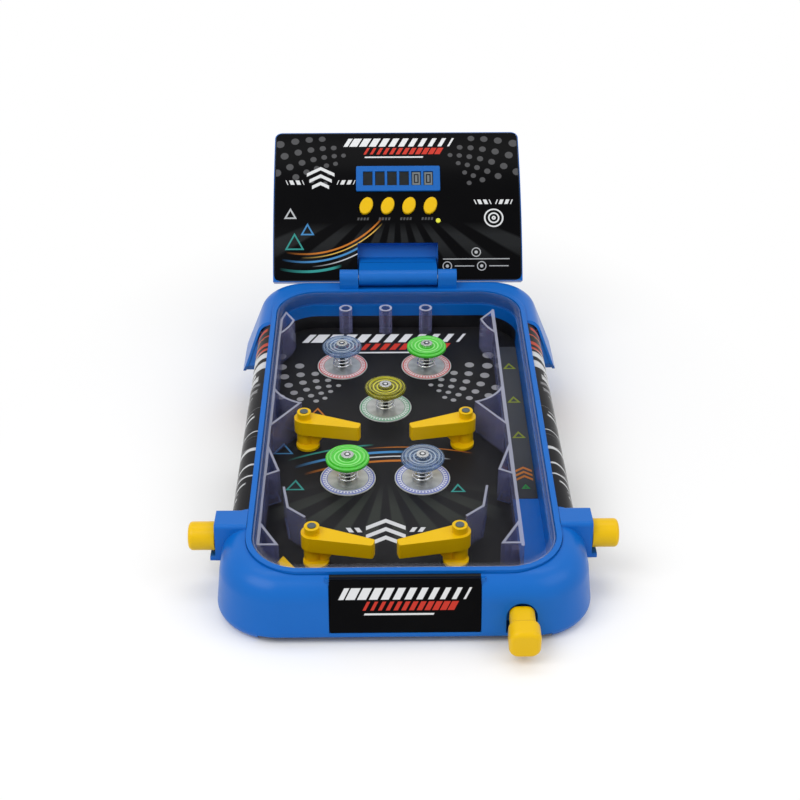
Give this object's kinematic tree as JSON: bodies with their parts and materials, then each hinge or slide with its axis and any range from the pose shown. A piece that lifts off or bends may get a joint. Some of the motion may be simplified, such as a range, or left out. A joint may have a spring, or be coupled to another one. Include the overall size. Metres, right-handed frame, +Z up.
{
  "type": "tabletop pinball game",
  "caption": "Tabletop pinball game: tilted playfield under a clear cover, spring bumpers, side-button flippers, pull plunger and a folding curved scoreboard.",
  "frame": {"origin": "centre of the overall box on the table", "axes": "+X to the player's right, +Y away from the player towards the scoreboard, +Z up"},
  "size_m": [0.313, 0.5677, 0.1983],
  "materials": {
    "blue_plastic": "satin moulded blue",
    "black_plastic": "gloss black",
    "black_print": "gloss printed sheet",
    "clear_plastic": "clear moulded plastic",
    "yellow_plastic": "satin moulded yellow",
    "silver_print": "silver printed disc",
    "spring_steel": "drawn wire",
    "bright_steel": "bright steel",
    "clear_blue_plastic": "translucent smoke blue",
    "green_plastic": "bright green",
    "clear_yellow_plastic": "translucent yellow",
    "white_plastic": "natural moulded",
    "board_green": "solder mask"
  },
  "bodies": {
    "base": {"base_tray": "blue_plastic", "front_apron": "blue_plastic", "label_plate": "black_print", "rear_cover": "blue_plastic", "side_panel_left": "black_plastic", "side_panel_right": "black_plastic", "bottom_plate": "black_plastic", "case_screws": "bright_steel", "playfield": "black_print", "lane_strip": "black_print", "clear_cover": "clear_plastic", "left_guides": "clear_plastic", "lane_divider": "clear_plastic", "inlane_guide_left": "clear_plastic", "inlane_guide_right": "clear_plastic", "lane_posts": "clear_plastic", "drain_rail": "yellow_plastic", "bumper_plates": "silver_print", "bumper_pins": "bright_steel", "hinge_pin": "bright_steel", "return_spring_left": "spring_steel", "return_spring_right": "spring_steel", "launch_spring": "spring_steel", "bumper_cap_1": "clear_blue_plastic", "bumper_cap_2": "green_plastic", "bumper_cap_3": "clear_yellow_plastic", "bumper_cap_4": "green_plastic", "bumper_cap_5": "clear_blue_plastic", "bumper_spring_1": "spring_steel", "bumper_spring_2": "spring_steel", "bumper_spring_3": "spring_steel", "bumper_spring_4": "spring_steel", "bumper_spring_5": "spring_steel"},
    "flipper_lower_left_body": {"flipper_lower_left": "yellow_plastic", "flipper_shaft_lower_left": "bright_steel"},
    "flipper_lower_right_body": {"flipper_lower_right": "yellow_plastic", "flipper_shaft_lower_right": "bright_steel"},
    "flipper_upper_left_body": {"flipper_upper_left": "yellow_plastic", "flipper_shaft_upper_left": "bright_steel"},
    "flipper_upper_right_body": {"flipper_upper_right": "yellow_plastic", "flipper_shaft_upper_right": "bright_steel"},
    "left_button_body": {"button_left": "yellow_plastic", "push_bar_left": "white_plastic"},
    "right_button_body": {"button_right": "yellow_plastic", "push_bar_right": "white_plastic"},
    "plunger_body": {"plunger": "yellow_plastic"},
    "ball_body": {"ball": "bright_steel"},
    "scoreboard": {"board_housing": "blue_plastic", "battery_door": "blue_plastic", "board_face": "black_print", "display_bezel": "blue_plastic", "digit_block": "black_plastic", "circuit_board": "board_green"},
    "key_1_body": {"board_key_1": "yellow_plastic"},
    "key_2_body": {"board_key_2": "yellow_plastic"},
    "key_3_body": {"board_key_3": "yellow_plastic"},
    "key_4_body": {"board_key_4": "yellow_plastic"}
  },
  "joints": [
    {"name": "left_button_slide", "type": "slide", "parent": "base", "child": "left_button_body", "axis": [1, 0, 0], "range_m": [0, 0.007], "stiffness_N_per_m": 260, "springref_m": -0.003, "deforming": ["return_spring_left"]},
    {"name": "right_button_slide", "type": "slide", "parent": "base", "child": "right_button_body", "axis": [-1, 0, 0], "range_m": [0, 0.007], "stiffness_N_per_m": 260, "springref_m": -0.003, "deforming": ["return_spring_right"]},
    {"name": "flipper_lower_left_hinge", "type": "hinge", "parent": "base", "child": "flipper_lower_left_body", "pos_m": [-0.0668, -0.17979, 0.02007], "axis": [0, -0.1045, 0.9945], "range_deg": [0, 47.28]},
    {"name": "flipper_lower_right_hinge", "type": "hinge", "parent": "base", "child": "flipper_lower_right_body", "pos_m": [0.0408, -0.17979, 0.02007], "axis": [0, 0.1045, -0.9945], "range_deg": [0, 47.28]},
    {"name": "flipper_upper_left_hinge", "type": "hinge", "parent": "base", "child": "flipper_upper_left_body", "pos_m": [-0.0785, -0.03409, 0.03538], "axis": [0, -0.1045, 0.9945], "range_deg": [0, 47.28]},
    {"name": "flipper_upper_right_hinge", "type": "hinge", "parent": "base", "child": "flipper_upper_right_body", "pos_m": [0.0525, -0.03409, 0.03538], "axis": [0, 0.1045, -0.9945], "range_deg": [0, 47.28]},
    {"name": "plunger_pull", "type": "slide", "parent": "base", "child": "plunger_body", "axis": [0, -0.9945, -0.1045], "range_m": [0, 0.015], "stiffness_N_per_m": 150, "springref_m": -0.01, "deforming": ["launch_spring"]},
    {"name": "ball_roll", "type": "slide", "parent": "base", "child": "ball_body", "axis": [0, 0.9945, 0.1045], "range_m": [0, 0.3]},
    {"name": "scoreboard_fold", "type": "hinge", "parent": "base", "child": "scoreboard", "pos_m": [0, 0.15769, 0.0996], "axis": [1, 0, 0], "range_deg": [0, 120]},
    {"name": "key_1_press", "type": "slide", "parent": "scoreboard", "child": "key_1_body", "axis": [0, 0.7281, -0.6854], "range_m": [0, 0.0015], "stiffness_N_per_m": 300, "springref_m": -0.001},
    {"name": "key_2_press", "type": "slide", "parent": "scoreboard", "child": "key_2_body", "axis": [0, 0.7281, -0.6854], "range_m": [0, 0.0015], "stiffness_N_per_m": 300, "springref_m": -0.001},
    {"name": "key_3_press", "type": "slide", "parent": "scoreboard", "child": "key_3_body", "axis": [0, 0.7281, -0.6854], "range_m": [0, 0.0015], "stiffness_N_per_m": 300, "springref_m": -0.001},
    {"name": "key_4_press", "type": "slide", "parent": "scoreboard", "child": "key_4_body", "axis": [0, 0.7281, -0.6854], "range_m": [0, 0.0015], "stiffness_N_per_m": 300, "springref_m": -0.001}
  ],
  "couplings": [
    {"joint": "flipper_lower_left_hinge", "follows": "left_button_slide", "rad_per_m": 117.83},
    {"joint": "flipper_lower_right_hinge", "follows": "right_button_slide", "rad_per_m": 117.83},
    {"joint": "flipper_upper_left_hinge", "follows": "left_button_slide", "rad_per_m": 117.83},
    {"joint": "flipper_upper_right_hinge", "follows": "right_button_slide", "rad_per_m": 117.83}
  ]
}
